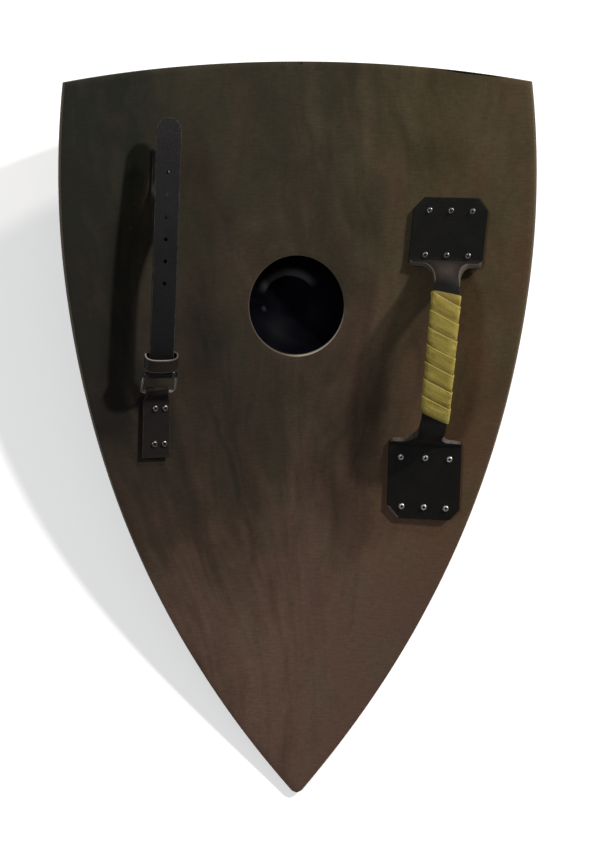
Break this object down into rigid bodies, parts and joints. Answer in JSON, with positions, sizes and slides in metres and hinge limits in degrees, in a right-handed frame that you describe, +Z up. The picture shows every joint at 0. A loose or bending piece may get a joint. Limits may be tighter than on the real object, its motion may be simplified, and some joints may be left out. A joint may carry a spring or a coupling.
{
  "type": "heater shield",
  "caption": "Curved wooden heater shield seen from its back, with a black steel boss behind the hand hole, a tape-wrapped leather grip and a buckled leather arm strap.",
  "frame": {"origin": "centre of the object's footprint on the floor", "axes": "+Y runs toward the shield's top edge and -Y toward its tip, +X is the viewer's right looking down on the back, +Z up away from the floor"},
  "size_m": [0.5562, 0.9122, 0.1436],
  "materials": {
    "wood": "brown stained plywood with a worn satin finish",
    "black_steel": "glossy black",
    "leather": "black, semi-matt, worn at the edges",
    "tape": "yellow cloth tape, matt",
    "steel": "bright steel"
  },
  "bodies": {
    "root": {"board": "wood", "boss": "black_steel", "handle": "leather", "grip_tape": "tape", "arm_strap": "leather", "strap_tab": "leather", "strap_ring": "steel", "strap_keeper": "leather", "handle_screw_1_1": "steel", "handle_screw_1_2": "steel", "handle_screw_1_3": "steel", "handle_screw_2_1": "steel", "handle_screw_2_2": "steel", "handle_screw_2_3": "steel", "handle_screw_3_1": "steel", "handle_screw_3_2": "steel", "handle_screw_3_3": "steel", "handle_screw_4_1": "steel", "handle_screw_4_2": "steel", "handle_screw_4_3": "steel", "tab_screw_1_1": "steel", "tab_screw_1_2": "steel", "tab_screw_2_1": "steel", "tab_screw_2_2": "steel", "anchor_screw_1_1": "steel", "anchor_screw_1_2": "steel", "anchor_screw_2_1": "steel", "anchor_screw_2_2": "steel", "boss_screw_1": "steel", "boss_screw_2": "steel", "boss_screw_3": "steel", "boss_screw_4": "steel", "boss_screw_5": "steel", "boss_screw_6": "steel"}
  },
  "joints": []
}
